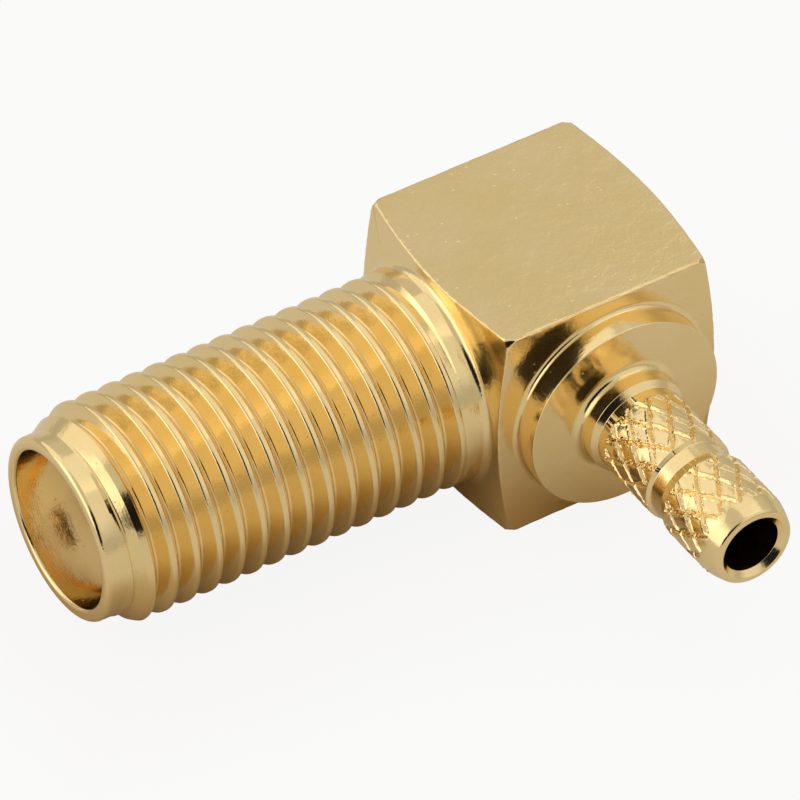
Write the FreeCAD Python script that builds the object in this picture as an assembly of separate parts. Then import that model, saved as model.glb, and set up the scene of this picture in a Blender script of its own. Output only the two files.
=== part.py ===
"""Right-angle coaxial jack for thin crimped cable, gold-plated brass.

The frame has +Z up. The threaded barrel lies along X with its mouth towards -X, and the
crimp stem points along -Y. The origin is on the barrel's axis, in the reference plane where
the mating plug's sleeve comes to rest. All sizes are in millimetres.
"""
import FreeCAD
import Part
import os
from math import pi, radians, sin, sqrt, tan

Vector = FreeCAD.Vector

# Mating end of the barrel
mouth_depth = 1.93
mouth_bore_r = 2.30
mouth_edge_round = 0.12
lip_wall = 0.40
lip_length = 0.57
lip_edge_round = 0.17
lead_in_deg = 30.0

# Outside thread, 36 turns to the inch
lip_under_root = 0.025
thread_depth = 0.42
thread_pitch = 25.4 / 36
thread_crest_flat = 0.15
thread_flank_deg = 30.0
thread_crest_at = 0.292
thread_tool_over = 0.05
thread_start_turn = 0.25
thread_run_out_deg = 45
neck_length = 0.53
neck_fillet = 0.25

# Square block
barrel_length = 11.82
block_over_thread = 0.355
block_length = 7.33
front_cone_deg = 13.8
rear_cone_deg = 12.9
corner_cut = 0.15
corner_deg = 62.0

# Bore behind the reference plane
reference_step = 0.24
insulator_clearance = 0.01
seat_step = 0.31
seat_before_block = 0.89
bead_length = 2.4

# Centre contact
contact_r = 0.635
contact_recess = 0.05
contact_clearance = 0.01
socket_r = 0.47
socket_depth = 3.0
socket_lead_in = 0.10
socket_slot = 0.15
socket_slot_depth = 2.6
socket_slot_count = 4
flange_r = 0.95
flange_length = 0.7
flange_clearance = 0.03
solder_slot = 0.55
solder_slot_length = 1.4
contact_past_axis = 0.75

# Rear access cap
cap_over_cavity = 0.78
cap_clearance = 0.02
cap_thickness = 0.80
cap_recess = 0.04
cap_chamfer = 0.08

# Crimp stem
stem_axis_in_block = 3.68
spigot_r = 2.0
spigot_clearance = 0.01
spigot_length = 1.3
stem_entry_r = 1.2
boss_r = 3.0
boss_height = 0.81
foot_fillet = 0.15
foot_rim = 0.02
collar_r = 1.52
collar_length = 0.60
collar_fillet = 0.25
stem_r = 1.362
neck_to_knurl = 0.25
first_band_length = 2.12
groove_r = 1.255
groove_step = 0.08
groove_length = 0.48
groove_rise = 0.30
stem_length = 6.42
nose_length = 0.56
nose_r = 1.18
cable_bore_r = 0.85
cable_bevel = 0.16

# Radii that follow, from the mouth's bore outwards and inwards
lip_r = mouth_bore_r + lip_wall
thread_major_r = lip_r + lip_under_root + thread_depth
block_half = thread_major_r + block_over_thread
block_across = 2 * block_half
block_corner_r = block_half * sqrt(2)
corner_r = block_corner_r - corner_cut
bore_r = mouth_bore_r - reference_step
insulator_r = bore_r - insulator_clearance
cavity_r = bore_r - seat_step
cap_r = cavity_r + cap_over_cavity
cap_bore_r = cap_r + cap_clearance
contact_hole_r = contact_r + contact_clearance

# Places that follow from the sizes
mouth_x = -mouth_depth
lip_end_x = mouth_x + lip_length
major_start_x = lip_end_x + (thread_major_r - lip_r) / tan(radians(lead_in_deg))
shoulder_x = mouth_x + barrel_length
thread_end_x = shoulder_x - neck_length
insulator_seat = shoulder_x - seat_before_block
bead_joint = insulator_seat - bead_length
rear_rim_x = shoulder_x + block_length
cap_seat_x = rear_rim_x - cap_recess - cap_thickness
stem_x = shoulder_x + stem_axis_in_block
spigot_end = block_half - spigot_length
boss_face = block_half + boss_height
stem_end = boss_face + stem_length


def front_face_x(r):
    """X of the block's front cone at radius r from the barrel's axis."""
    return shoulder_x + (r - thread_major_r) * tan(radians(front_cone_deg))


def rear_face_x(r):
    """X of the block's rear cone at radius r from the barrel's axis."""
    return rear_rim_x - (r - cap_bore_r) * tan(radians(rear_cone_deg))


def rounded_section(corners):
    """Closed face through corners (along, radius, round), with tangent arcs where round isn't 0."""
    points = [Vector(c[0], c[1], 0) for c in corners]
    edges = []
    ends = []
    for i, corner in enumerate(points):
        radius = corners[i][2]
        before = (points[i - 1] - corner).normalize()
        after = (points[(i + 1) % len(points)] - corner).normalize()
        if radius == 0:
            ends.append((corner, None, corner))
            continue
        half_angle = before.getAngle(after) / 2
        reach = radius / tan(half_angle)
        middle = (before + after).normalize() * (radius / sin(half_angle) - radius)
        ends.append((corner + before * reach, corner + middle, corner + after * reach))
    for i, (start, middle, end) in enumerate(ends):
        if middle is not None:
            edges.append(Part.Arc(start, middle, end).toShape())
        following = ends[(i + 1) % len(ends)][0]
        if end.distanceToPoint(following) > 1e-6:
            edges.append(Part.makeLine(end, following))
    return Part.Face(Part.Wire(edges))


def turned(corners):
    """Solid turned about the X axis from a section of (along, radius, round) corners."""
    return rounded_section(corners).revolve(Vector(0, 0, 0), Vector(1, 0, 0), 360)


def along_stem(shape):
    """Move a shape turned about +X so that its axis is the crimp stem's, pointing to -Y."""
    shape.rotate(Vector(0, 0, 0), Vector(0, 0, 1), -90)
    shape.translate(Vector(stem_x, 0, 0))
    return shape


def rod(r, start, end):
    """Plain cylinder about the barrel's axis."""
    return Part.makeCylinder(r, end - start, Vector(start, 0, 0), Vector(1, 0, 0))


def slab(start, end, width, height):
    """Box on the barrel's axis from start to end, as wide along Y and as high along Z as given."""
    return Part.makeBox(end - start, width, height, Vector(start, -width / 2, -height / 2))


def thread_groove():
    """Helical cutter between the crests, which runs out over the lip and on a cone at the neck."""
    root_r = thread_major_r - thread_depth
    top_r = thread_major_r + thread_tool_over
    slope = tan(radians(thread_flank_deg))
    top_half = (thread_pitch - thread_crest_flat) / 2 + thread_tool_over * slope
    root_half = top_half - (thread_depth + thread_tool_over) * slope
    first = thread_crest_at + thread_pitch / 2
    turns_ahead = int((first - lip_end_x) / thread_pitch) + 1
    start_x = first + (thread_start_turn - turns_ahead) * thread_pitch
    end_x = thread_end_x + top_half
    helix = Part.makeHelix(thread_pitch, end_x - start_x, root_r)
    section = Part.makePolygon([
        Vector(root_r, 0, -root_half), Vector(root_r, 0, root_half),
        Vector(top_r, 0, top_half), Vector(top_r, 0, -top_half), Vector(root_r, 0, -root_half)])
    cutter = Part.Wire(helix).makePipeShell([section], True, True)
    cutter.rotate(Vector(0, 0, 0), Vector(1, 1, 1), 120)
    cutter.rotate(Vector(0, 0, 0), Vector(1, 0, 0), thread_start_turn * 360)
    cutter.translate(Vector(start_x, 0, 0))
    run_out = tan(radians(thread_run_out_deg))
    inner_r = root_r - thread_tool_over
    outer_r = top_r + thread_tool_over
    neck = turned([
        (thread_end_x - (thread_major_r - inner_r) * run_out, inner_r, 0),
        (thread_end_x + (outer_r - thread_major_r) * run_out, outer_r, 0),
        (end_x + thread_pitch, outer_r, 0),
        (end_x + thread_pitch, inner_r, 0)])
    return cutter.cut(neck)


def make_housing():
    """Threaded barrel and square block, turned and milled from one bar."""
    facet = (block_corner_r - corner_r) * tan(radians(corner_deg))
    section = [
        (mouth_x, mouth_bore_r, mouth_edge_round),
        (mouth_x, lip_r, lip_edge_round),
        (lip_end_x, lip_r, 0),
        (major_start_x, thread_major_r, 0),
        (shoulder_x, thread_major_r, neck_fillet),
        (front_face_x(corner_r), corner_r, 0),
        (front_face_x(corner_r) + facet, block_corner_r, 0),
        (rear_face_x(corner_r) - facet, block_corner_r, 0),
        (rear_face_x(corner_r), corner_r, 0),
        (rear_rim_x, cap_bore_r, 0),
        (cap_seat_x, cap_bore_r, 0),
        (cap_seat_x, cavity_r, 0),
        (insulator_seat, cavity_r, 0),
        (insulator_seat, bore_r, 0),
        (0, bore_r, 0),
        (0, mouth_bore_r, 0)]
    square = slab(mouth_x, rear_rim_x, block_across, block_across)
    blank = turned(section)
    housing = blank.cut(thread_groove())
    least_cut = pi * lip_r * thread_depth * (thread_end_x - major_start_x) / 2
    if blank.Volume - housing.Volume < least_cut:
        raise RuntimeError("the thread's groove did not cut the barrel")
    housing = housing.common(square)
    seat = along_stem(rod(spigot_r + spigot_clearance, spigot_end, block_half))
    entry = along_stem(rod(stem_entry_r, 0, spigot_end))
    return housing.cut(seat).cut(entry)


def make_crimp_stem():
    """Turned stem with its spigot in the block, round boss, collar and two knurl bands."""
    collar_end = boss_face + collar_length
    knurl_start = collar_end + (collar_r - stem_r) + neck_to_knurl
    band_end = knurl_start + first_band_length
    groove_start = band_end + groove_step
    groove_end = groove_start + groove_length
    section = [
        (spigot_end, cable_bore_r, 0),
        (spigot_end, spigot_r, 0),
        (block_half, spigot_r, 0),
        (block_half, boss_r + foot_fillet + foot_rim, 0),
        (block_half + foot_rim, boss_r + foot_fillet + foot_rim, 0),
        (block_half + foot_rim, boss_r, foot_fillet),
        (boss_face, boss_r, 0),
        (boss_face, collar_r, collar_fillet),
        (collar_end, collar_r, 0),
        (collar_end + collar_r - stem_r, stem_r, 0),
        (band_end, stem_r, 0),
        (groove_start, groove_r, 0),
        (groove_end, groove_r, 0),
        (groove_end + groove_rise, stem_r, 0),
        (stem_end - nose_length, stem_r, 0),
        (stem_end, nose_r, 0),
        (stem_end, cable_bore_r + cable_bevel, 0),
        (stem_end - cable_bevel, cable_bore_r, 0)]
    return along_stem(turned(section))


def make_front_insulator():
    """White sleeve from the reference plane back to the contact's flange."""
    return rod(insulator_r, 0, bead_joint).cut(rod(contact_hole_r, 0, bead_joint))


def make_rear_insulator():
    """White bead that traps the contact's flange against the front sleeve."""
    pocket_end = bead_joint + flange_length + flange_clearance
    bead = rod(insulator_r, bead_joint, insulator_seat)
    bead = bead.cut(rod(contact_hole_r, bead_joint, insulator_seat))
    return bead.cut(rod(flange_r + flange_clearance, bead_joint, pocket_end))


def make_centre_contact():
    """Slotted socket in front, flange in the middle, and a solder fork behind the stem's axis."""
    end = stem_x + contact_past_axis
    section = [
        (contact_recess, socket_r + socket_lead_in, 0),
        (contact_recess, contact_r, 0),
        (bead_joint, contact_r, 0),
        (bead_joint, flange_r, 0),
        (bead_joint + flange_length, flange_r, 0),
        (bead_joint + flange_length, contact_r, 0),
        (end, contact_r, 0),
        (end, 0, 0),
        (contact_recess + socket_depth, 0, 0),
        (contact_recess + socket_depth, socket_r, 0),
        (contact_recess + socket_lead_in, socket_r, 0)]
    contact = turned(section)
    over = 2 * contact_r
    for turn in range(socket_slot_count):
        start = Vector(contact_recess, 0, -socket_slot / 2)
        cut = Part.makeBox(socket_slot_depth, over, socket_slot, start)
        cut.rotate(Vector(0, 0, 0), Vector(1, 0, 0), 45 + turn * 360 / socket_slot_count)
        contact = contact.cut(cut)
    return contact.cut(slab(end - solder_slot_length, end, over, solder_slot))


def make_rear_cap():
    """Plain round cap pressed over the soldering hole."""
    outer = cap_seat_x + cap_thickness
    section = [
        (cap_seat_x, 0, 0),
        (cap_seat_x, cap_r, 0),
        (outer - cap_chamfer, cap_r, 0),
        (outer, cap_r - cap_chamfer, 0),
        (outer, 0, 0)]
    return turned(section)


parts = {
    "housing": make_housing,
    "crimp_stem": make_crimp_stem,
    "front_insulator": make_front_insulator,
    "rear_insulator": make_rear_insulator,
    "centre_contact": make_centre_contact,
    "rear_cap": make_rear_cap,
}

os.makedirs("parts", exist_ok=True)
for name, make in parts.items():
    shape = make()
    shape.exportStep("parts/" + name + ".step")
    box = shape.BoundBox
    print(name, "solids", len(shape.Solids), "valid", shape.isValid(), "volume", round(shape.Volume, 3),
          "from", [round(v, 3) for v in (box.XMin, box.YMin, box.ZMin)],
          "to", [round(v, 3) for v in (box.XMax, box.YMax, box.ZMax)])
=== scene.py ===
"""Looks of a right-angle coaxial jack: gold plate, a cut thread, a knurled crimp stem.

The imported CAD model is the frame. Each class below builds one real piece as a smooth mesh in
the place of its CAD node. Sizes are in millimetres in the same frame as the CAD, and a mesh is
turned into metres when it is made.
"""

import logging
from collections.abc import Callable
from dataclasses import astuple, dataclass, field, fields, replace
from enum import Enum
from math import acos, atan2, cos, hypot, pi, radians, sin, sqrt, tan
from random import Random

import bmesh
import bpy
from bpy.types import Material, Mesh, Node, NodeSocket, Object
from mathutils import Matrix, Vector


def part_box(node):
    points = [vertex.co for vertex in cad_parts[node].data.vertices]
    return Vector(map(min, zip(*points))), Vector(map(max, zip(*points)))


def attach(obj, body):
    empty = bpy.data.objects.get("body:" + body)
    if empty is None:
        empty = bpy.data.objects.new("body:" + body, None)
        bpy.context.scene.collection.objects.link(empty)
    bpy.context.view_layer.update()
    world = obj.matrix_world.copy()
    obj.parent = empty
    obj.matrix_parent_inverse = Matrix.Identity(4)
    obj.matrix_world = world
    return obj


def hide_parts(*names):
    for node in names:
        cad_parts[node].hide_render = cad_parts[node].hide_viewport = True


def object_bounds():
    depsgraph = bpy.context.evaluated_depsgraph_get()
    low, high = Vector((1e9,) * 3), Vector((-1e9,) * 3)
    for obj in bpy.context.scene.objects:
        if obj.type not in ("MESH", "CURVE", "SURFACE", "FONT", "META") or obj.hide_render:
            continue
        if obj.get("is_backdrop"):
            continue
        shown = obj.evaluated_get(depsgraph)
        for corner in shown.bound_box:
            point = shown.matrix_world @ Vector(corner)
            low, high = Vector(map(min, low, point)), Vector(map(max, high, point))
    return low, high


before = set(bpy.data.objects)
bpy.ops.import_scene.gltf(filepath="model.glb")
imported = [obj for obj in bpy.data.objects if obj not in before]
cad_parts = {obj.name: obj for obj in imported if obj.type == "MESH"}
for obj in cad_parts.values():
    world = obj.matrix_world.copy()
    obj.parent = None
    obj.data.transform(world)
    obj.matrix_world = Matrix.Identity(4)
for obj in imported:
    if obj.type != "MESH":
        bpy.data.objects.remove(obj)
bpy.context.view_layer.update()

logging.basicConfig(level=logging.INFO, format="%(message)s")
log = logging.getLogger("jack")

MM = 0.001
# Steps round the axis of a large turned surface and of a small one
SEGMENTS = 240
SMALL_SEGMENTS = 96
# An edge that turns more than this stays sharp
SHARP_DEG = 28.0
# Points nearer than this are one point, in millimetres
MERGE = 2e-5
# How far a cutter stands out of what it cuts, and a distance beyond every piece, in millimetres
CLEAR = 1.0
FAR = 1e3

Point = tuple[float, float]
Colour = tuple[float, float, float]
Row = list[tuple[float, float, float]]


class Slot(Enum):
    """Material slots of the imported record."""

    GOLD = "gold_plate"
    CONTACT = "contact_gold"
    PTFE = "white_ptfe"


class Lay(Enum):
    """Which way the cutter's marks run on a gold piece."""

    TURNED_BARREL = "turned about the barrel"
    TURNED_STEM = "turned about the stem"


def _joining(operation: str, reflected: bool = False) -> Callable[["Num", object], "Num"]:
    """Make a method that joins a number and another one in a Math node.

    Args:
        operation: The node's operation.
        reflected: Whether the other one comes first, as in 1 - mask.

    Returns:
        The method.
    """
    def method(self: "Num", other: object) -> "Num":
        """Add the node and wrap its result."""
        return self.math(operation, *((other, self) if reflected else (self, other)))

    return method


def _alone(operation: str) -> Callable[["Num"], "Num"]:
    """Make a method that puts a number through a Math node."""
    return lambda self: self.math(operation, self)


class Num:
    """A number in a node tree that takes Python's operators."""

    __add__ = __radd__ = _joining("ADD")
    __sub__ = _joining("SUBTRACT")
    __rsub__ = _joining("SUBTRACT", reflected=True)
    __mul__ = __rmul__ = _joining("MULTIPLY")
    __truediv__ = _joining("DIVIDE")
    __rtruediv__ = _joining("DIVIDE", reflected=True)
    __pow__ = _joining("POWER")
    least = _joining("MINIMUM")
    most = _joining("MAXIMUM")
    above = _joining("GREATER_THAN")
    __abs__ = _alone("ABSOLUTE")
    sine = _alone("SINE")
    cosine = _alone("COSINE")
    # The largest whole number not above it, and what is left above that
    whole = _alone("FLOOR")
    part = _alone("FRACT")

    def __init__(self, tree: "Tree", socket: NodeSocket) -> None:
        """Wrap one output socket."""
        self.tree = tree
        self.socket = socket

    def math(self, operation: str, *values: object) -> "Num":
        """Add a Math node whose inputs are Nums and plain numbers."""
        node = self.tree.node("ShaderNodeMath", {"operation": operation}, dict(enumerate(values)))
        return Num(self.tree, node.outputs[0])

    def limited(self) -> "Num":
        """Held between 0 and 1."""
        return self.most(0.0).least(1.0)


class Tree:
    """A node tree with one way to add a node."""

    def __init__(self, node_tree: bpy.types.NodeTree) -> None:
        """Wrap a tree and empty it."""
        self.tree = node_tree
        self.tree.nodes.clear()

    def node(self, kind: str, settings: dict | None = None, inputs: dict | None = None) -> Node:
        """Add a node.

        Args:
            kind: The node's type.
            settings: Properties that are set first.
            inputs: Values or links by socket name or number.

        Returns:
            The new node.
        """
        node = self.tree.nodes.new(kind)
        for name, value in (settings or {}).items():
            setattr(node, name, value)
        for key, value in (inputs or {}).items():
            socket = node.inputs[key]
            if isinstance(value, Num):
                self.tree.links.new(value.socket, socket)
            elif isinstance(value, NodeSocket):
                self.tree.links.new(value, socket)
            else:
                socket.default_value = value
        return node

    def num(self, node: Node, name: str | int = 0) -> Num:
        """Output of a node as a number."""
        return Num(self, node.outputs[name])

    def place(self) -> NodeSocket:
        """Point of a surface in its object's frame, or direction in the world."""
        return self.node("ShaderNodeTexCoord").outputs["Object"]

    def show(self, shader: Node) -> None:
        """Make a shader the material's surface."""
        self.node("ShaderNodeOutputMaterial", None, {"Surface": shader.outputs[0]})

    def split(self, vector: NodeSocket) -> tuple[Num, ...]:
        """The three parts of a vector."""
        node = self.node("ShaderNodeSeparateXYZ", None, {"Vector": vector})
        return tuple(self.num(node, i) for i in range(3))

    def vector(self, x: object, y: object = 0.0, z: object = 0.0) -> NodeSocket:
        """Vector of three numbers."""
        return self.node("ShaderNodeCombineXYZ", None, {"X": x, "Y": y, "Z": z}).outputs[0]

    def noise(self, place: NodeSocket, grain: float, detail: float = 2.0) -> Num:
        """Noise whose grains are about as large as given, in the tree's own unit."""
        return self.num(self.node("ShaderNodeTexNoise", None, {
            "Vector": place, "Scale": 1.0 / grain, "Detail": detail}))

    def mixed(self, factor: Num, first: Colour, second: Colour) -> NodeSocket:
        """Colour between two others."""
        return self.node("ShaderNodeMix", {"data_type": "RGBA"}, {
            0: factor, 6: (*first, 1.0), 7: (*second, 1.0)}).outputs[2]

    def eased(self, value: Num, start: float, end: float, low: float = 0.0, high: float = 1.0) -> Num:
        """Soft step from low at the start to high at the end."""
        return self.num(self.node("ShaderNodeMapRange", {"interpolation_type": "SMOOTHSTEP"}, {
            "Value": value, "From Min": start, "From Max": end, "To Min": low, "To Max": high}))

    def bump(self, height_mm: Num) -> NodeSocket:
        """Normal of a surface with a small height."""
        return self.node("ShaderNodeBump", None, {
            "Height": height_mm * MM, "Distance": 1.0, "Strength": 1.0}).outputs[0]

    def ramp(self, factor: Num, stops: list[tuple[float, float]]) -> Num:
        """Add a grey colour ramp.

        Args:
            factor: What the ramp reads.
            stops: Places and grey values, in rising order.

        Returns:
            The ramp's value.
        """
        node = self.node("ShaderNodeValToRGB", None, {"Fac": factor})
        elements = node.color_ramp.elements
        while len(elements) < len(stops):
            elements.new(0.5)
        for element, (place, grey) in zip(elements, stops):
            element.position = place
            element.color = (grey, grey, grey, 1.0)
        return self.num(node, "Color")


def new_material(name: str) -> tuple[Material, Tree]:
    """Make a material with nodes, and give its empty tree with it."""
    made = bpy.data.materials.new(name)
    made.use_nodes = True
    return made, Tree(made.node_tree)


@dataclass(frozen=True)
class GoldPlate:
    """Thin gold over machined brass: satin flats, fine pits and the cutter's marks."""

    name: str
    lay: Lay
    centre: tuple[float, float, float] = (0.0, 0.0, 0.0)
    deep: Colour = (0.92, 0.685, 0.30)
    pale: Colour = (0.96, 0.73, 0.365)
    # What mixes the two golds, and where the mix begins and ends
    cloud_share: float = 0.55
    grain_share: float = 0.25
    mark_share: float = 0.20
    shade_span: tuple[float, float] = (0.35, 0.62)
    rough: float = 0.13
    rough_spread: float = 0.10
    pit_rough: float = 0.18
    cloud_mm: float = 2.2
    grain_mm: float = 0.10
    mark_mm: float = 0.035
    wave_mm: float = 0.45
    pit_mm: float = 0.26
    # Share of the cells that hold a pit, and the bottom and rim of a pit in cells
    pit_share: float = 0.22
    pit_span: tuple[float, float] = (0.06, 0.20)
    grain_depth_mm: float = 0.003
    pit_depth_mm: float = 0.003
    mark_depth_mm: float = 0.0012
    wave_depth_mm: float = 0.008

    def material(self) -> Material:
        """Build the node material."""
        made, tree = new_material(self.name)
        place = tree.place()
        centred = tree.node("ShaderNodeMapping", None, {
            "Vector": place, "Location": [-c * MM for c in self.centre]})
        x, y, z = tree.split(centred.outputs[0])
        along, across = (x, y) if self.lay is Lay.TURNED_BARREL else (y, x)
        radius = (across * across + z * z) ** 0.5
        grain = tree.noise(place, self.grain_mm * MM, 3.0)
        cloud = tree.noise(place, self.cloud_mm * MM)
        waves = tree.noise(place, self.wave_mm * MM, 1.0)
        marks = tree.noise(tree.vector(along, radius), self.mark_mm * MM, 1.0)
        pits = self._pits(tree, place)
        shade = (cloud * self.cloud_share + grain * self.grain_share + marks * self.mark_share).limited()
        start, end = self.shade_span
        roughness = (self.rough + (grain - 0.5) * self.rough_spread + pits * self.pit_rough).limited()
        height = (grain * self.grain_depth_mm + marks * self.mark_depth_mm
                  + waves * self.wave_depth_mm - pits * self.pit_depth_mm)
        shader = tree.node("ShaderNodeBsdfPrincipled", None, {
            "Base Color": tree.mixed(tree.ramp(shade, [(start, 0.0), (end, 1.0)]), self.deep, self.pale),
            "Metallic": 1.0,
            "Roughness": roughness,
            "Normal": tree.bump(height)})
        tree.show(shader)
        return made

    def _pits(self, tree: Tree, place: NodeSocket) -> Num:
        """Scattered small pits, 1 at their bottom and 0 outside them."""
        cells = tree.node("ShaderNodeTexVoronoi", None, {
            "Vector": place, "Scale": 1.0 / (self.pit_mm * MM)})
        chance = tree.split(cells.outputs["Color"])[0]
        bottom, rim = self.pit_span
        round_pits = tree.ramp(tree.num(cells, "Distance"), [(bottom, 1.0), (rim, 0.0)])
        return round_pits * chance.above(1.0 - self.pit_share)


@dataclass(frozen=True)
class Ptfe:
    """White fluoropolymer, waxy and faintly cloudy, with a turned face."""

    name: str
    colour: Colour = (0.95, 0.93, 0.88)
    shade: Colour = (0.90, 0.87, 0.79)
    rough: float = 0.42
    cloud_mm: float = 0.8
    mark_mm: float = 0.05
    mark_depth_mm: float = 0.002

    def material(self) -> Material:
        """Build the node material."""
        made, tree = new_material(self.name)
        place = tree.place()
        _, y, z = tree.split(place)
        cloud = tree.noise(place, self.cloud_mm * MM, 3.0)
        marks = tree.noise(tree.vector((y * y + z * z) ** 0.5), self.mark_mm * MM, 1.0)
        shader = tree.node("ShaderNodeBsdfPrincipled", None, {
            "Base Color": tree.mixed(cloud, self.colour, self.shade),
            "Roughness": self.rough,
            "Normal": tree.bump(marks * self.mark_depth_mm)})
        tree.show(shader)
        return made


@dataclass
class Outline:
    """Section of a turned piece: corners (along, radius) that may be rounded."""

    corners: list[tuple[float, float, float, int]] = field(default_factory=list)

    def corner(self, along: float, radius: float, rounding: float = 0.0, steps: int = 5) -> "Outline":
        """Add a corner.

        Args:
            along: Place along the axis.
            radius: Distance from the axis.
            rounding: Radius of the arc that replaces the corner.
            steps: Number of straight steps in that arc.

        Returns:
            The outline itself.
        """
        self.corners.append((along, radius, rounding, steps))
        return self

    def drawn(self, closed: bool = True) -> list[Point]:
        """Work out the section's points.

        Args:
            closed: Whether the last corner joins the first.

        Returns:
            Points in order, with the first one again at the end of a closed section.
        """
        points: list[Point] = []
        count = len(self.corners)
        for i, (along, radius, rounding, steps) in enumerate(self.corners):
            here = Vector((along, radius))
            if rounding == 0.0 or (not closed and i in (0, count - 1)):
                points.append((along, radius))
                continue
            before = (Vector(self.corners[i - 1][:2]) - here).normalized()
            after = (Vector(self.corners[(i + 1) % count][:2]) - here).normalized()
            half_angle = acos(max(-1.0, min(1.0, before.dot(after)))) / 2
            reach = rounding / tan(half_angle)
            centre = here + (before + after).normalized() * (rounding / sin(half_angle))
            start, end = here + before * reach - centre, here + after * reach - centre
            turn = atan2(start.cross(end), start.dot(end))
            first = atan2(start.y, start.x)
            for step in range(steps + 1):
                angle = first + turn * step / steps
                points.append((centre.x + rounding * cos(angle), centre.y + rounding * sin(angle)))
        if closed:
            points.append(points[0])
        return points


@dataclass(frozen=True)
class Helix:
    """Screw motion of a turned surface and the cones that cut its thread off."""

    pitch: float = 0.0
    front: float = -FAR
    end: float = FAR
    cone_start: float = 0.0
    cone_radius: float = FAR
    cone_slope: float = 0.0
    stop_radius: float = 0.0
    stop_slope: float = 1.0


@dataclass(frozen=True)
class Knurl:
    """Crossed helical V-grooves with raised lips over two bands of a turned surface."""

    starts: int = 1
    # Tangent of the angle between each set of grooves and the axis
    twist: float = 0.0
    other_twist: float = 0.0
    radius: float = 1.0
    half_width: float = 1.0
    depth: float = 0.0
    lip: float = 0.0
    # How far the grooves and the ends of the bands wander
    wobble: float = 0.0
    ragged: float = 0.0
    first_start: float = 0.0
    first_end: float = 0.0
    second_start: float = 0.0
    second_end: float = 0.0
    fade: float = 0.08


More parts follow.
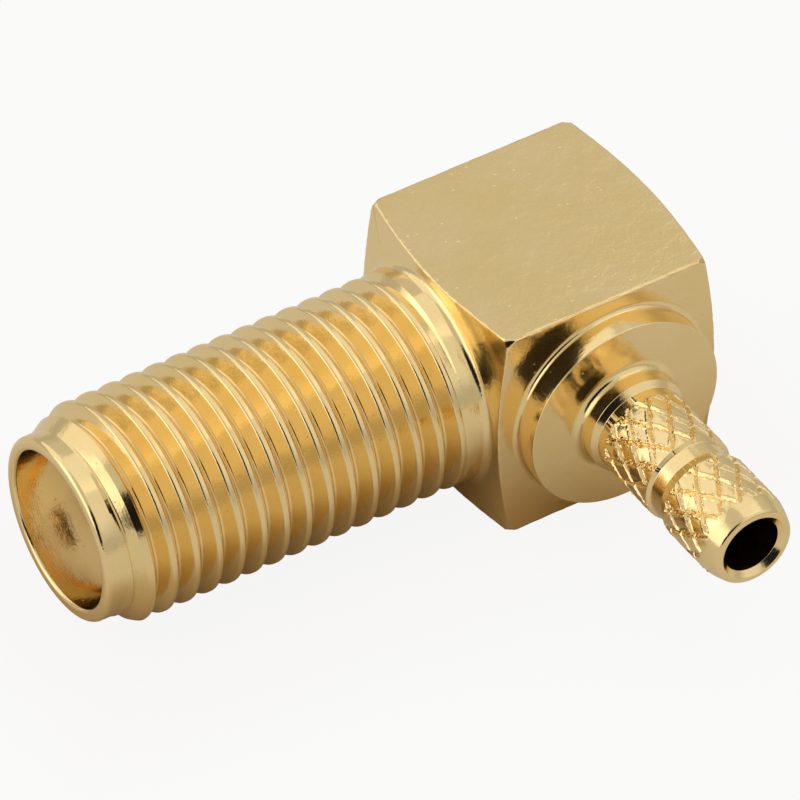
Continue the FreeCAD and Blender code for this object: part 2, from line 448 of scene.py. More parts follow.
class TurningTree:
    """Geometry nodes that spin the section in an object's own mesh about the X axis."""

    SIZES = ("segments", *(f"helix {f.name}" for f in fields(Helix)),
             *(f"knurl {f.name}" for f in fields(Knurl)))
    # Grain of the burrs and of the grooves' wandering
    BURR_MM = 0.11
    WOBBLE_MM = 0.45
    # Middle and half width of a groove's raised lip, in half widths of the groove
    LIP_AT = 1.5
    LIP_REACH = 0.6
    # Even share of a lip's height, and how much more the burrs change it
    LIP_EVEN = 0.7
    LIP_PATCHY = 3.0

    def __init__(self) -> None:
        """Build the node group once."""
        self.group = bpy.data.node_groups.new("turned_surface", "GeometryNodeTree")
        interface = self.group.interface
        interface.new_socket("Geometry", in_out="INPUT", socket_type="NodeSocketGeometry")
        interface.new_socket("Material", in_out="INPUT", socket_type="NodeSocketMaterial")
        for name in self.SIZES:
            interface.new_socket(name, in_out="INPUT", socket_type="NodeSocketFloat")
        interface.new_socket("Geometry", in_out="OUTPUT", socket_type="NodeSocketGeometry")
        self._build()

    def _build(self) -> None:
        """Lay the grid over the section, move its points and close the seam."""
        tree = Tree(self.group)
        given = tree.node("NodeGroupInput")
        size = {name: tree.num(given, name) for name in self.SIZES}
        section = given.outputs["Geometry"]
        count = tree.num(tree.node("GeometryNodeAttributeDomainSize", None, {"Geometry": section}))
        columns = size["segments"] + 1.0
        grid = tree.node("GeometryNodeMeshGrid", None, {
            "Vertices X": count, "Vertices Y": columns})
        index = tree.num(tree.node("GeometryNodeInputIndex"))
        row = ((index + 0.5) / columns).whole()
        angle = (index - row * columns) / size["segments"] * (2 * pi)
        sampled = tree.node("GeometryNodeSampleIndex", {"data_type": "FLOAT_VECTOR", "domain": "POINT"}, {
            "Geometry": section,
            "Value": tree.node("GeometryNodeInputPosition").outputs[0],
            "Index": row})
        along, radius, _ = tree.split(sampled.outputs[0])
        along = along + size["helix pitch"] * angle / (2 * pi)
        along = along.most(size["helix front"]).least(size["helix end"])
        cone = size["helix cone_radius"] + (along - size["helix cone_start"]) * size["helix cone_slope"]
        stop = size["helix stop_radius"] - (size["helix end"] - along) * size["helix stop_slope"]
        radius = radius.least(cone).most(stop) - self._knurl(tree, size, along, angle)
        moved = tree.node("GeometryNodeSetPosition", None, {
            "Geometry": grid.outputs["Mesh"],
            "Position": tree.vector(along, radius * angle.cosine(), radius * angle.sine())})
        merged = tree.node("GeometryNodeMergeByDistance", None, {
            "Geometry": moved.outputs[0], "Distance": MERGE})
        real = tree.node("GeometryNodeRealizeInstances", None, {"Geometry": merged.outputs[0]})
        dressed = tree.node("GeometryNodeSetMaterial", None, {
            "Geometry": real.outputs[0], "Material": given.outputs["Material"]})
        tree.node("NodeGroupOutput", None, {"Geometry": dressed.outputs[0]})

    @classmethod
    def _knurl(cls, tree: Tree, size: dict[str, Num], along: Num, angle: Num) -> Num:
        """Depth of the crossed grooves, less the burrs that their cutting raised.

        Args:
            tree: The tree that gets the nodes.
            size: The tree's inputs.
            along: Place along the axis.
            angle: Angle round the axis.

        Returns:
            How far a point moves in towards the axis.
        """
        reach = size["knurl radius"]
        place = tree.vector(along, reach * angle.cosine(), reach * angle.sine())
        burr, wobble = tree.noise(place, cls.BURR_MM) - 0.5, tree.noise(place, cls.WOBBLE_MM) - 0.5
        step = 2 * pi / size["knurl starts"]

        def from_line(twist: Num) -> Num:
            """Distance from the nearest groove's middle, in half widths."""
            turned = angle + (along * twist + wobble * size["knurl wobble"]) / reach
            slant = (1.0 + twist * twist) ** 0.5
            distance = abs((turned / step).part() - 0.5) * step * reach / slant
            return distance / size["knurl half_width"]

        def band(start: Num, end: Num) -> Num:
            """1 inside a band, falling to 0 at its ragged ends."""
            place_along = along + (wobble + burr) * size["knurl ragged"]
            rising = ((place_along - start) / size["knurl fade"]).limited()
            falling = ((end - place_along) / size["knurl fade"]).limited()
            return rising * falling

        near = from_line(size["knurl twist"]).least(from_line(size["knurl other_twist"]))
        cut = (1.0 - near).most(0.0) * (1.0 + burr)
        lip = (1.0 - abs(near - cls.LIP_AT) / cls.LIP_REACH).most(0.0)
        lip = lip * (cls.LIP_EVEN + burr * cls.LIP_PATCHY).most(0.0)
        inside = band(size["knurl first_start"], size["knurl first_end"])
        inside = inside.most(band(size["knurl second_start"], size["knurl second_end"]))
        return (cut * size["knurl depth"] - lip * size["knurl lip"]) * inside

    def mesh(self, section: list[Point], material: Material, helix: Helix = Helix(),
             knurl: Knurl = Knurl(), segments: int = SEGMENTS) -> Mesh:
        """Spin one section.

        Args:
            section: Points (along, radius).
            material: What the surface is made of.
            helix: Screw motion, for a thread.
            knurl: Crossed grooves.
            segments: Number of steps round the axis.

        Returns:
            A plain mesh in millimetres about the X axis.
        """
        line = bpy.data.meshes.new("section")
        line.from_pydata([(x, r, 0.0) for x, r in section], [], [])
        holder = in_scene("section", line)
        modifier = holder.modifiers.new("turning", "NODES")
        modifier.node_group = self.group
        values = (segments, *astuple(helix), *astuple(knurl))
        sockets = {s.name: s.identifier for s in self.group.interface.items_tree if s.in_out == "INPUT"}
        modifier[sockets["Material"]] = material
        for name, value in zip(self.SIZES, values):
            modifier[sockets[name]] = float(value)
        made = applied(holder, modifier)
        bpy.data.objects.remove(holder)
        bpy.data.meshes.remove(line)
        return made


def in_scene(name: str, data: bpy.types.ID) -> Object:
    """Add an object that shows a mesh, a lamp or a camera."""
    made = bpy.data.objects.new(name, data)
    bpy.context.scene.collection.objects.link(made)
    return made


def plain_mesh(name: str, bm: bmesh.types.BMesh) -> Mesh:
    """Turn a bmesh into a mesh, and free it."""
    made = bpy.data.meshes.new(name)
    bm.to_mesh(made)
    bm.free()
    return made


def applied(piece: Object, modifier: bpy.types.Modifier, all_layers: bool = False) -> Mesh:
    """Take what a piece's modifier makes, and remove the modifier.

    Args:
        piece: What carries the modifier.
        modifier: Its only modifier.
        all_layers: Whether the normals that it sets come along.

    Returns:
        The resulting mesh.
    """
    graph = bpy.context.evaluated_depsgraph_get()
    made = bpy.data.meshes.new_from_object(
        piece.evaluated_get(graph), preserve_all_data_layers=all_layers, depsgraph=graph)
    piece.modifiers.remove(modifier)
    return made


def grid_faces(bm: bmesh.types.BMesh, rows: list[Row]) -> None:
    """Join rings of points with quads.

    Args:
        bm: Where the faces go.
        rows: Rings of equally many points each.
    """
    made = [[bm.verts.new(p) for p in row] for row in rows]
    for upper, lower in zip(made, made[1:]):
        for i, corner in enumerate(upper):
            j = (i + 1) % len(upper)
            bm.faces.new((corner, upper[j], lower[j], lower[i]))


def finished(name: str, meshes: list[Mesh], material: Material, node: str,
             place: Matrix = Matrix.Identity(4), cutters: tuple[Mesh, ...] = ()) -> Object:
    """Join meshes into one closed piece in metres, and put it in the place of its CAD node.

    Args:
        name: The piece's name.
        meshes: Its stretches in millimetres, whose edges meet.
        material: What it is made of.
        node: The CAD node that it stands for.
        place: Where it stands, in millimetres.
        cutters: Closed meshes that are cut out of it.

    Returns:
        The piece, at the origin.
    """
    bm = bmesh.new()
    for mesh in meshes:
        bm.from_mesh(mesh)
    bmesh.ops.remove_doubles(bm, verts=bm.verts, dist=2 * MERGE)
    bmesh.ops.dissolve_degenerate(bm, edges=bm.edges, dist=MERGE)
    bmesh.ops.recalc_face_normals(bm, faces=bm.faces)
    open_edges = sum(1 for edge in bm.edges if not edge.is_manifold)
    piece = in_scene(name, plain_mesh(name, bm))
    for cutter in cutters:
        cut_away(piece, cutter)
    true_flats(piece)
    mesh = piece.data
    mesh.materials.clear()
    mesh.materials.append(material)
    mesh.transform(Matrix.Scale(MM, 4) @ place)
    mesh.polygons.foreach_set("material_index", [0] * len(mesh.polygons))
    triangles = sum(len(p.vertices) - 2 for p in mesh.polygons)
    log.info("%s: %d triangles, %d open edges", name, triangles, open_edges)
    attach(piece, "root")
    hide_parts(node)
    return piece


def true_flats(piece: Object) -> None:
    """Let the larger faces set the normals, so that a flat shades flat up to its rounded edge.

    Args:
        piece: A piece in millimetres, because the modifier takes metres' small areas for nothing.
    """
    mesh = piece.data
    mesh.polygons.foreach_set("use_smooth", [True] * len(mesh.polygons))
    mesh.set_sharp_from_angle(angle=radians(SHARP_DEG))
    modifier = piece.modifiers.new("normals", "WEIGHTED_NORMAL")
    modifier.keep_sharp = True
    piece.data = applied(piece, modifier, all_layers=True)


def cut_away(piece: Object, cutter: Mesh) -> None:
    """Cut a closed mesh out of a piece.

    Args:
        piece: What is cut. Its mesh is replaced.
        cutter: The shape that goes.
    """
    tool = in_scene("cutter", cutter)
    modifier = piece.modifiers.new("cut", "BOOLEAN")
    modifier.object = tool
    modifier.operation = "DIFFERENCE"
    modifier.solver = "EXACT"
    piece.data = applied(piece, modifier)
    bpy.data.objects.remove(tool)


def node_box(node: str) -> tuple[Vector, Vector]:
    """Lowest and highest corner of a CAD node in millimetres."""
    low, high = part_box(node)
    return low / MM, high / MM


@dataclass
class Housing:
    """Threaded barrel and square block, cut from one bar."""

    mouth_bore_r: float = 2.30
    mouth_edge: float = 0.12
    lip_r: float = 2.70
    lip_length: float = 0.57
    lip_edge: float = 0.17
    lead_in_deg: float = 30.0
    thread_major_r: float = 3.145
    thread_pitch: float = 25.4 / 36
    thread_depth: float = 0.42
    crest_flat: float = 0.15
    flank_deg: float = 30.0
    crest_at: float = 0.292
    crest_front_round: float = 0.08
    crest_rear_round: float = 0.05
    root_round: float = 0.06
    run_out_deg: float = 45.0
    barrel_length: float = 11.82
    neck_length: float = 0.53
    neck_fillet: float = 0.25
    front_cone_deg: float = 13.8
    rear_cone_deg: float = 12.9
    corner_cut: float = 0.15
    corner_deg: float = 62.0
    edge_round: float = 0.045
    bar_edge_round: float = 0.06
    # Unevenness of the edges, as a share of the rounding and in millimetres
    edge_wear: float = 0.45
    bar_edge_wear: float = 0.012
    # The section has this many turns more than the barrel, and goes on past the last by these pitches
    turns_ahead: int = 3
    turns_behind: int = 1
    past_last_turn: tuple[float, ...] = (0.45, 1.0, 3.0)
    # Rings of a block face, as shares of the way from its round edge to the corner facets, and
    # rings of the rounded edge behind it, as shares of the way round
    face_rings: tuple[float, ...] = (0.0, 0.2, 0.4, 0.6, 0.8, 0.94, 1.0)
    edge_rings: tuple[float, ...] = (1 / 3, 2 / 3, 1.0)
    # Columns of points beside each long edge of the bar, in steps away from it
    corner_offsets: tuple[float, ...] = (0.9, 0.65, 0.42, 0.22)
    corner_steps: int = 6
    bar_rows: int = 28
    wear_seed: int = 7
    bore_r: float = 2.06
    seat_x: float = 9.0
    cavity_r: float = 1.75
    cap_bore_r: float = 2.55
    cap_seat_depth: float = 0.84
    spigot_hole_r: float = 2.01
    spigot_length: float = 1.3
    entry_r: float = 1.2
    stem_axis_in_block: float = 3.68

    def __post_init__(self) -> None:
        """Take the outer places from the frame."""
        low, high = node_box("housing")
        self.mouth_x = low.x
        self.rear_x = high.x
        self.half = high.z
        self.corner_r = self.half * sqrt(2)
        self.shoulder_x = self.mouth_x + self.barrel_length
        self.lip_end = self.mouth_x + self.lip_length
        self.thread_end = self.shoulder_x - self.neck_length
        self.stem_x = self.shoulder_x + self.stem_axis_in_block

    def _drop(self, r: float, start_r: float, cone_deg: float) -> float:
        """How far a coned face has fallen back at radius r, with the steep facets at its corners."""
        flat_r = min(r, self.corner_r - self.corner_cut)
        return (flat_r - start_r) * tan(radians(cone_deg)) + (r - flat_r) * tan(radians(self.corner_deg))

    def front_x(self, r: float) -> float:
        """X of the block's front face at radius r."""
        return self.shoulder_x + self._drop(r, self.thread_major_r, self.front_cone_deg)

    def rear_face_x(self, r: float) -> float:
        """X of the block's rear face at radius r."""
        return self.rear_x - self._drop(r, self.cap_bore_r, self.rear_cone_deg)

    def thread_section(self) -> list[Point]:
        """Section along the whole thread.

        Returns:
            Points (along, radius) of all turns, from ahead of the cone to behind the last turn.
        """
        root_r = self.thread_major_r - self.thread_depth
        crest = self.crest_flat / 2
        root = crest + self.thread_depth * tan(radians(self.flank_deg))
        first = int((self.lip_end - self.crest_at) / self.thread_pitch) - self.turns_ahead
        last = int((self.thread_end - self.crest_at) / self.thread_pitch) + self.turns_behind
        outline = Outline()
        for k in range(first, last + 1):
            centre = self.crest_at + k * self.thread_pitch
            outline.corner(centre - root, root_r, self.root_round, 3)
            outline.corner(centre - crest, self.thread_major_r, self.crest_front_round, 3)
            outline.corner(centre + crest, self.thread_major_r, self.crest_rear_round, 2)
            outline.corner(centre + root, root_r, self.root_round, 3)
        points = outline.drawn(closed=False)
        neck = centre + self.thread_pitch / 2
        points += [(neck + self.thread_pitch * s, self.thread_major_r) for s in self.past_last_turn]
        return points

    def barrel_meshes(self, turning: TurningTree, gold: Material) -> list[Mesh]:
        """Spin the barrel's outside and all the bores.

        Args:
            turning: The tree that spins a section.
            gold: The barrel's material.

        Returns:
            Meshes whose edges meet each other and the block's.
        """
        helix = Helix(
            pitch=self.thread_pitch, front=self.lip_end, end=self.thread_end,
            cone_start=self.lip_end, cone_radius=self.lip_r, cone_slope=tan(radians(self.lead_in_deg)),
            stop_radius=self.thread_major_r, stop_slope=1.0 / tan(radians(self.run_out_deg)))
        thread = turning.mesh(self.thread_section(), gold, helix=helix)
        neck = Outline().corner(self.thread_end, self.thread_major_r)
        neck.corner(self.shoulder_x, self.thread_major_r, self.neck_fillet, 8)
        neck.corner(self.front_x(self.inner_ring_r()), self.inner_ring_r())
        inside = Outline().corner(self.rear_x, self.cap_bore_r)
        cap_seat = self.rear_x - self.cap_seat_depth
        inside.corner(cap_seat, self.cap_bore_r).corner(cap_seat, self.cavity_r)
        inside.corner(self.seat_x, self.cavity_r).corner(self.seat_x, self.bore_r)
        inside.corner(0.0, self.bore_r).corner(0.0, self.mouth_bore_r)
        inside.corner(self.mouth_x, self.mouth_bore_r, self.mouth_edge, 6)
        inside.corner(self.mouth_x, self.lip_r, self.lip_edge, 8)
        inside.corner(self.lip_end, self.lip_r)
        spun = [turning.mesh(o.drawn(closed=False), gold) for o in (neck, inside)]
        return [thread, *spun]

    def inner_ring_r(self) -> float:
        """Radius at which the block's front face begins."""
        return self.thread_major_r + self.neck_fillet

    def columns(self) -> list[tuple[float, float, float]]:
        """Points round the square bar's outline.

        Returns:
            Each column's y and z on the bar, and the angle where it meets the round rings.
        """
        step = 2 * pi / SEGMENTS
        rounding = self.bar_edge_round
        inset = self.half - rounding
        corner_columns = {SEGMENTS // 8 + k * SEGMENTS // 4 for k in range(4)}
        extra = [share * step for share in self.corner_offsets]
        columns = []

        def flat(angle: float, ring: float) -> None:
            """Add a point on a flat side at an angle from the axis."""
            reach = self.half / max(abs(cos(angle)), abs(sin(angle)))
            columns.append((reach * cos(angle), reach * sin(angle), ring))

        for i in range(SEGMENTS):
            angle = i * step
            if i not in corner_columns:
                flat(angle, angle)
                continue
            for offset in extra:
                flat(angle - offset, angle)
            sign_y, sign_z = (1 if cos(angle) > 0 else -1), (1 if sin(angle) > 0 else -1)
            for k in range(self.corner_steps + 1):
                turn = angle - pi / 4 + k * pi / 2 / self.corner_steps
                y, z = sign_y * inset + rounding * cos(turn), sign_z * inset + rounding * sin(turn)
                columns.append((y, z, angle))
            for offset in reversed(extra):
                flat(angle + offset, angle)
        return columns

    def block_mesh(self) -> Mesh:
        """Front face, four sides and rear face of the block.

        Returns:
            A mesh in millimetres that is open at the barrel and at the rear bore.
        """
        columns = self.columns()
        draw = Random(self.wear_seed)
        edges = [self.edge_round * (1 + draw.uniform(-self.edge_wear, self.edge_wear)) for _ in columns]

        def face_rows(start_r: float, face_x: Callable[[float], float]) -> list[Row]:
            """Rings from a round edge out to the corner facets, and one along the bar's outline."""
            made = []
            for share in (*self.face_rings, None):
                row = []
                for (y, z, ring), edge in zip(columns, edges):
                    reach = hypot(y, z)
                    r = reach - edge
                    blend = 0.0
                    if share is not None:
                        flat_r = min(r, self.corner_r - self.corner_cut)
                        r = start_r + (flat_r - start_r) * share
                        blend = 1.0 - share
                    outer_y, outer_z = y / reach * r, z / reach * r
                    round_y, round_z = cos(ring) * r, sin(ring) * r
                    point_y = outer_y + (round_y - outer_y) * blend
                    point_z = outer_z + (round_z - outer_z) * blend
                    row.append((face_x(hypot(point_y, point_z)), point_y, point_z))
                made.append(row)
            return made

        def edge_rows(face_x: Callable[[float], float], inwards: float) -> list[Row]:
            """Rings round the edge between a face and the sides, with the sign of the way inwards."""
            made = []
            for share in self.edge_rings:
                row = []
                for (y, z, _), edge in zip(columns, edges):
                    reach = hypot(y, z)
                    corner = Vector((face_x(reach), y, z))
                    start_r = reach - edge
                    start = Vector((face_x(start_r), y / reach * start_r, z / reach * start_r))
                    end = corner + Vector((inwards * edge, 0.0, 0.0))
                    point = start * (1 - share) ** 2 + corner * (2 * share * (1 - share)) + end * share ** 2
                    row.append(tuple(point))
                made.append(row)
            return made

        rows = face_rows(self.inner_ring_r(), self.front_x) + edge_rows(self.front_x, 1.0)
        last_front = rows[-1]
        rear = edge_rows(self.rear_face_x, -1.0)[::-1]
        for i in range(1, self.bar_rows):
            share = i / self.bar_rows
            row = []
            for (x, y, z), behind in zip(last_front, rear[0]):
                on_edge = hypot(y, z) > hypot(self.half, self.half - self.bar_edge_round)
                keep = 1.0 - on_edge * draw.uniform(0.0, self.bar_edge_wear / self.half)
                row.append((x + (behind[0] - x) * share, y * keep, z * keep))
            rows.append(row)
        rows += rear
        rows += face_rows(self.cap_bore_r, self.rear_face_x)[::-1]
        bm = bmesh.new()
        grid_faces(bm, rows)
        bmesh.ops.remove_doubles(bm, verts=bm.verts, dist=MERGE)
        return plain_mesh("block", bm)

    def build(self, turning: TurningTree, gold: Material) -> Object:
        """Make the piece of a gold, with the tree that spins its section."""
        hole = Outline().corner(0.0, 0.0).corner(0.0, self.entry_r)
        seat = self.half - self.spigot_length
        hole.corner(seat, self.entry_r).corner(seat, self.spigot_hole_r)
        hole.corner(self.half + CLEAR, self.spigot_hole_r).corner(self.half + CLEAR, 0.0)
        cutter = turning.mesh(hole.drawn(closed=False), gold, segments=SMALL_SEGMENTS)
        cutter.transform(stem_place(self.stem_x))
        outward(cutter)
        meshes = [*self.barrel_meshes(turning, gold), self.block_mesh()]
        return finished("gold_housing", meshes, gold, "housing", cutters=(cutter,))


def stem_place(stem_x: float) -> Matrix:
    """Turn a shape about +X so that it points along -Y at the stem's axis."""
    return Matrix.Translation((stem_x, 0.0, 0.0)) @ Matrix.Rotation(radians(-90), 4, "Z")


def outward(mesh: Mesh) -> None:
    """Turn all faces of a closed mesh outwards."""
    bm = bmesh.new()
    bm.from_mesh(mesh)
    bmesh.ops.remove_doubles(bm, verts=bm.verts, dist=MERGE)
    bmesh.ops.recalc_face_normals(bm, faces=bm.faces)
    bm.to_mesh(mesh)
    bm.free()


@dataclass
class CrimpStem:
    """Turned stem with its boss, collar and two knurled bands."""

    spigot_r: float = 2.0
    boss_r: float = 3.0
    boss_height: float = 0.81
    boss_edge: float = 0.03
    foot_fillet: float = 0.15
    foot_rim: float = 0.02
    collar_r: float = 1.52
    collar_length: float = 0.60
    collar_fillet: float = 0.25
    collar_edge: float = 0.03
    stem_r: float = 1.362
    neck_to_knurl: float = 0.25
    first_band: float = 2.12
    groove_r: float = 1.255
    groove_step: float = 0.08
    groove_length: float = 0.48
    groove_rise: float = 0.30
    groove_start_round: float = 0.04
    groove_end_round: float = 0.10
    nose_length: float = 0.56
    nose_r: float = 1.18
    bore_r: float = 0.85
    bevel: float = 0.16
    bevel_edge: float = 0.02
    nose_round: float = 1.6
    nose_edge: float = 0.16
    knurl_row: float = 0.025
    segments: int = 360
    knurl: Knurl = Knurl(
        starts=13, twist=tan(radians(30.0)), other_twist=-tan(radians(30.0)), half_width=0.055,
        depth=0.07, lip=0.022, wobble=0.16, ragged=0.35)

    def section(self, half: float, stem_end: float, spigot_end: float) -> tuple[list[Point], Knurl]:
        """Closed section of the stem.

        Args:
            half: Distance from the barrel's axis to the block's side.
            stem_end: Distance to the stem's end.
            spigot_end: Distance to the spigot's inner end.

        Returns:
            Points (along, radius), close together on the knurled bands, and the knurl of those bands.
        """
        boss_face = half + self.boss_height
        collar_end = boss_face + self.collar_length
        neck_start = collar_end + self.collar_r - self.stem_r
        first_start = neck_start + self.neck_to_knurl
        first_end = first_start + self.first_band
        groove_start = first_end + self.groove_step
        groove_end = groove_start + self.groove_length
        second_start = groove_end + self.groove_rise
        second_end = stem_end - self.nose_length
        outline = Outline().corner(spigot_end, self.bore_r).corner(spigot_end, self.spigot_r)
        foot_r = self.boss_r + self.foot_fillet + self.foot_rim
        outline.corner(half, self.spigot_r).corner(half, foot_r)
        outline.corner(half + self.foot_rim, foot_r)
        outline.corner(half + self.foot_rim, self.boss_r, self.foot_fillet, 6)
        outline.corner(boss_face, self.boss_r, self.boss_edge, 4)
        outline.corner(boss_face, self.collar_r, self.collar_fillet, 8)
        outline.corner(collar_end, self.collar_r, self.collar_edge, 3)
        outline.corner(neck_start, self.stem_r, self.collar_edge, 3)
        self._rows(outline, first_start, first_end)
        outline.corner(groove_start, self.groove_r, self.groove_start_round, 3)
        outline.corner(groove_end, self.groove_r, self.groove_end_round, 4)
        nose_turn = atan2(self.stem_r - self.nose_r, self.nose_length)
        self._rows(outline, second_start, second_end - self.nose_round * tan(nose_turn / 2))
        outline.corner(second_end, self.stem_r, self.nose_round, 12)
        outline.corner(stem_end, self.nose_r, self.nose_edge, 6)
        outline.corner(stem_end, self.bore_r + self.bevel, self.bevel_edge, 3)
        outline.corner(stem_end - self.bevel, self.bore_r, self.bevel_edge, 3)
        knurl = replace(self.knurl, radius=self.stem_r, first_start=first_start, first_end=first_end,
                        second_start=second_start, second_end=second_end)
        return outline.drawn(), knurl

    def _rows(self, outline: Outline, start: float, end: float) -> None:
        """Add close rows to a section, along a knurled band."""
        count = round((end - start) / self.knurl_row)
        for i in range(count + 1):
            outline.corner(start + (end - start) * i / count, self.stem_r)

    def build(self, turning: TurningTree, gold: Material, stem_x: float) -> Object:
        """Make the piece of a gold, with its axis at stem_x along the barrel."""
        low, high = node_box("crimp_stem")
        half = node_box("housing")[1].z
        section, knurl = self.section(half, -low.y, -high.y)
        mesh = turning.mesh(section, gold, knurl=knurl, segments=self.segments)
        return finished("gold_crimp_stem", [mesh], gold, "crimp_stem", place=stem_place(stem_x))


@dataclass
class RearCap:
    """Round cap over the soldering hole."""

    chamfer: float = 0.08

    def build(self, turning: TurningTree, gold: Material) -> Object:
        """Make the piece of a gold, with the tree that spins its section."""
        low, high = node_box("rear_cap")
        outline = Outline().corner(low.x, 0.0).corner(low.x, high.z)
        outline.corner(high.x, high.z, self.chamfer, 5).corner(high.x, 0.0)
        mesh = turning.mesh(outline.drawn(closed=False), gold)
        return finished("gold_rear_cap", [mesh], gold, "rear_cap")


@dataclass
class CentreContact:
    """Slotted socket with its flange and a solder fork."""

    contact_r: float = 0.635
    socket_r: float = 0.47
    socket_depth: float = 3.0
    lead_in: float = 0.10
    slot: float = 0.15
    slot_depth: float = 2.6
    slot_count: int = 4
    flange_x: float = 6.6
    flange_r: float = 0.95
    flange_length: float = 0.7
    fork_slot: float = 0.55
    fork_length: float = 1.4
    bore_edge: float = 0.04
    mouth_edge: float = 0.01
    front_edge: float = 0.03
    fork_edge: float = 0.10

    def build(self, turning: TurningTree, gold: Material) -> Object:
        """Make the piece of a gold, with the tree that spins its section."""
        low, high = node_box("centre_contact")
        outline = Outline().corner(low.x + self.socket_depth, 0.0)
        outline.corner(low.x + self.socket_depth, self.socket_r)
        outline.corner(low.x + self.lead_in, self.socket_r, self.bore_edge, 3)
        outline.corner(low.x, self.socket_r + self.lead_in, self.mouth_edge, 2)
        outline.corner(low.x, self.contact_r, self.front_edge, 4)
        outline.corner(self.flange_x, self.contact_r).corner(self.flange_x, self.flange_r)
        flange_end = self.flange_x + self.flange_length
        outline.corner(flange_end, self.flange_r).corner(flange_end, self.contact_r)
        outline.corner(high.x, self.contact_r, self.fork_edge, 4).corner(high.x, 0.0)
        cutters = []
        width = 4 * self.contact_r
        for turn in range(self.slot_count // 2):
            cut = box_mesh(low.x - CLEAR, low.x + self.slot_depth, width, self.slot)
            cut.transform(Matrix.Rotation(radians(45 + 90 * turn), 4, "X"))
            cutters.append(cut)
        cutters.append(box_mesh(high.x - self.fork_length, high.x + CLEAR, width, self.fork_slot))
        mesh = turning.mesh(outline.drawn(closed=False), gold, segments=SMALL_SEGMENTS)
        return finished(
            "slotted_contact", [mesh], gold, "centre_contact", cutters=tuple(cutters))


def box_mesh(start: float, end: float, width: float, height: float) -> Mesh:
    """Closed box on the barrel's axis, with its width along Y and its height along Z."""
    bm = bmesh.new()
    bmesh.ops.create_cube(bm, size=1.0)
    bm.transform(Matrix.Translation(((start + end) / 2, 0.0, 0.0))
                 @ Matrix.Diagonal((end - start, width, height, 1.0)))
    return plain_mesh("box", bm)


@dataclass
class Insulators:
    """White sleeve in the bore and the bead behind it."""

    contact_hole_r: float = 0.645
    hole_edge: float = 0.02
    rim_edge: float = 0.03
    segments: int = 120

    def build(self, turning: TurningTree, ptfe: Material) -> Object:
        """Make the front sleeve of a white material, and dress the hidden bead's CAD node in it."""
        low, high = node_box("front_insulator")
        outline = Outline().corner(low.x, self.contact_hole_r, self.hole_edge, 2)
        outline.corner(low.x, high.z, self.rim_edge, 3)
        outline.corner(high.x, high.z).corner(high.x, self.contact_hole_r)
        mesh = turning.mesh(outline.drawn(), ptfe, segments=self.segments)
        piece = finished("ptfe_front_sleeve", [mesh], ptfe, "front_insulator")
        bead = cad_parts["rear_insulator"]
        bead.data.materials.clear()
        bead.data.materials.append(ptfe)
        return piece


def outwards(azimuth_deg: float, elevation_deg: float) -> Vector:
    """Direction from the object, where azimuth 0 is -Y and 90 is +X."""
    azimuth, elevation = radians(azimuth_deg), radians(elevation_deg)
    return Vector((sin(azimuth) * cos(elevation), -cos(azimuth) * cos(elevation), sin(elevation)))


@dataclass(frozen=True)
class Softbox:
    """One flat lamp that looks at the object."""

    name: str
    azimuth_deg: float
    elevation_deg: float
    distance_mm: float
    width_mm: float
    height_mm: float
    radiance: float

    def build(self, aim: Vector) -> None:
        """Hang the lamp so that it looks at a point, in millimetres."""
        lamp = bpy.data.lights.new(self.name, "AREA")
        lamp.shape = "RECTANGLE"
        lamp.size = self.width_mm * MM
        lamp.size_y = self.height_mm * MM
        lamp.energy = self.radiance * pi * self.width_mm * self.height_mm * MM * MM
        holder = in_scene(self.name, lamp)
        out = outwards(self.azimuth_deg, self.elevation_deg)
        holder.location = (aim + out * self.distance_mm) * MM
        holder.rotation_euler = (-out).to_track_quat("-Z", "Y").to_euler()


@dataclass(frozen=True)
class Patch:
    """Oval of the light tent that is brighter or darker than the rest, with soft edges."""

    azimuth_deg: float
    elevation_deg: float
    half_width_deg: float
    half_height_deg: float
    lean_deg: float
    softness: float
    change: float
    # Keeps the division by the part of a direction towards the patch safe
    least_forward: float = 0.01

    def light(self, tree: Tree, towards: NodeSocket) -> Num:
        """Work out what the patch adds in each direction.

        Args:
            tree: The world's tree.
            towards: Direction from the object.

        Returns:
            The change in the tent's light.
        """
        centre = outwards(self.azimuth_deg, self.elevation_deg)
        level = Vector((-centre.y, centre.x, 0.0)).normalized()
        upright = centre.cross(level)
        lean = radians(self.lean_deg)
        axes = (centre, level * cos(lean) - upright * sin(lean), level * sin(lean) + upright * cos(lean))
        forward, right, up = (self._along(tree, towards, axis) for axis in axes)
        near = forward.most(self.least_forward)
        wide = right / near / tan(radians(self.half_width_deg))
        high = up / near / tan(radians(self.half_height_deg))
        distance = (wide * wide + high * high) ** 0.5
        inside = tree.eased(distance, 1.0 + self.softness, 1.0 - self.softness)
        return inside * forward.above(0.0) * self.change

    @staticmethod
    def _along(tree: Tree, towards: NodeSocket, axis: Vector) -> Num:
        """Part of a direction along an axis."""
        node = tree.node("ShaderNodeVectorMath", {"operation": "DOT_PRODUCT"}, {0: towards, 1: tuple(axis)})
        return tree.num(node, "Value")


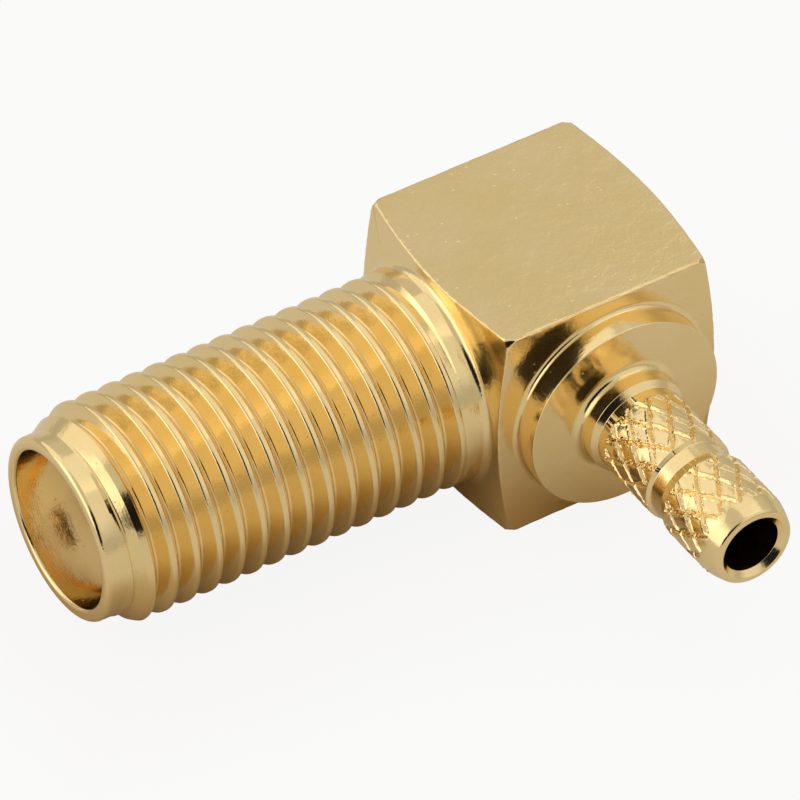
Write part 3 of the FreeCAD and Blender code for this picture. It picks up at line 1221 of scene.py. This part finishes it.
@dataclass
class Studio:
    """White floor, soft lamps and the camera of the photograph."""

    azimuth_deg: float = -31.4165
    elevation_deg: float = 42.2281
    roll_deg: float = -0.8173
    distance_mm: float = 299.89
    lens_mm: float = 491.8
    aim: tuple[float, float, float] = (9.0374, 0.0644, -0.6416)
    floor_radius_mm: float = 4000.0
    floor_sides: int = 128
    # Colour of the floor under the object, a painted shadow with painted warm light bounced from the gold,
    # and past its footprint the floor's own colour
    floor_painted_shadow: Colour = (0.60, 0.50, 0.36)
    floor_far: Colour = (0.72, 0.70, 0.66)
    painted_shadow_fade_mm: float = 5.0
    # Share of plain white that the camera and the metal's reflections see in the floor; in the reflections
    # it fades out near the object, a painted shadow
    floor_white: float = 0.90
    floor_white_in_metal: float = 0.16
    # Light of the tent overhead and near the floor, between which heights it rises, and its darkest
    tent_light: float = 0.62
    tent_light_low: float = 0.50
    tent_rise: tuple[float, float] = (0.15, 0.45)
    tent_least: float = 0.008
    # The tent's dark opening, and two walls that are brighter
    patches: tuple[Patch, ...] = (
        Patch(-41.0, 26.0, 17.5, 33.0, 40.0, 0.34, -0.85),
        Patch(48.0, 46.0, 34.0, 26.0, 0.0, 0.45, 0.20),
        Patch(-96.0, 18.0, 36.0, 26.0, 0.0, 0.45, 0.80),
    )
    lamps: tuple[Softbox, ...] = (
        Softbox("top_box", 112.0, 66.0, 600.0, 520.0, 520.0, 0.30),
        Softbox("back_box", -150.0, 42.0, 600.0, 860.0, 520.0, 0.36),
    )

    def build(self) -> None:
        """Set the stage."""
        self._camera()
        self._floor()
        self._world()
        for lamp in self.lamps:
            lamp.build(Vector(self.aim))
        bpy.context.scene.view_settings.view_transform = "Standard"

    def _camera(self) -> None:
        """Stand the camera where the photograph was taken."""
        back = outwards(self.azimuth_deg, self.elevation_deg)
        right = Vector((-back.y, back.x, 0.0)).normalized()
        up = back.cross(right)
        roll = radians(self.roll_deg)
        rolled_right = right * cos(roll) + up * sin(roll)
        rolled_up = up * cos(roll) - right * sin(roll)
        camera = bpy.data.cameras.new("camera")
        camera.lens = self.lens_mm
        camera.clip_start = 0.01
        camera.clip_end = 100.0
        holder = in_scene("camera", camera)
        turn = Matrix((rolled_right, rolled_up, back)).transposed().to_4x4()
        place = (Vector(self.aim) + back * self.distance_mm) * MM
        holder.matrix_world = Matrix.Translation(place) @ turn
        bpy.context.scene.camera = holder

    def _floor(self) -> None:
        """Lay a round white floor under the block, with a painted shadow round its footprint."""
        made, tree = new_material("white_floor")
        low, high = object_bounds()
        x, y, _ = tree.split(tree.place())
        beside = abs(y) - high.y
        beyond = abs(x - (low.x + high.x) / 2) - (high.x - low.x) / 2
        # 0 at the object's footprint and 1 past the fade: the floor inside the fade carries the painted
        # shadow
        clear_of_painted_shadow = tree.eased(beside.most(beyond), 0.0, self.painted_shadow_fade_mm * MM)
        colour = tree.mixed(clear_of_painted_shadow, self.floor_painted_shadow, self.floor_far)
        diffuse = tree.node("ShaderNodeBsdfDiffuse", None, {"Color": colour})
        white = tree.node("ShaderNodeEmission")
        path = tree.node("ShaderNodeLightPath")
        through = tree.num(path, "Is Glossy Ray").most(tree.num(path, "Is Transmission Ray"))
        # Less white in the reflections near the object, also a painted shadow
        in_metal = through * clear_of_painted_shadow * self.floor_white_in_metal
        seen = in_metal.most(tree.num(path, "Is Camera Ray") * self.floor_white)
        both = tree.node("ShaderNodeMixShader", None, {0: seen, 1: diffuse.outputs[0], 2: white.outputs[0]})
        tree.show(both)
        bm = bmesh.new()
        bmesh.ops.create_circle(
            bm, cap_ends=True, segments=self.floor_sides, radius=self.floor_radius_mm * MM)
        floor = in_scene("floor", plain_mesh("floor", bm))
        floor.data.materials.append(made)
        floor.location.z = low.z
        floor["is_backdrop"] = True

    def _world(self) -> None:
        """Light tent all round, with the dark opening that it has on one side."""
        world = bpy.data.worlds.new("studio")
        bpy.context.scene.world = world
        world.use_nodes = True
        tree = Tree(world.node_tree)
        towards = tree.place()
        height = tree.split(towards)[2]
        light = tree.eased(height, *self.tent_rise, self.tent_light_low, self.tent_light)
        for patch in self.patches:
            light = light + patch.light(tree, towards)
        background = tree.node("ShaderNodeBackground", None, {
            "Color": (1.0, 1.0, 1.0, 1.0), "Strength": light.most(self.tent_least)})
        tree.node("ShaderNodeOutputWorld", None, {"Surface": background.outputs[0]})


def main() -> None:
    """Build every piece, then the stage."""
    turning = TurningTree()
    barrel_gold = GoldPlate("gold_on_barrel", Lay.TURNED_BARREL).material()
    housing = Housing()
    stem_gold = GoldPlate(
        "gold_on_stem", Lay.TURNED_STEM, centre=(housing.stem_x, 0.0, 0.0)).material()
    # Redder, duller gold on the contact; its darker colours are painted shade of the unlit hole that it
    # sits in
    contact_gold = GoldPlate(
        "gold_on_contact_painted_shade", Lay.TURNED_BARREL, deep=(0.60, 0.34, 0.13), pale=(0.72, 0.45, 0.20),
        rough=0.3, pit_depth_mm=0.0).material()
    ptfe = Ptfe("white_ptfe").material()
    housing.build(turning, barrel_gold)
    CrimpStem().build(turning, stem_gold, housing.stem_x)
    RearCap().build(turning, barrel_gold)
    CentreContact().build(turning, contact_gold)
    Insulators().build(turning, ptfe)
    bpy.data.node_groups.remove(turning.group)
    Studio().build()


if __name__ == "__main__":
    main()
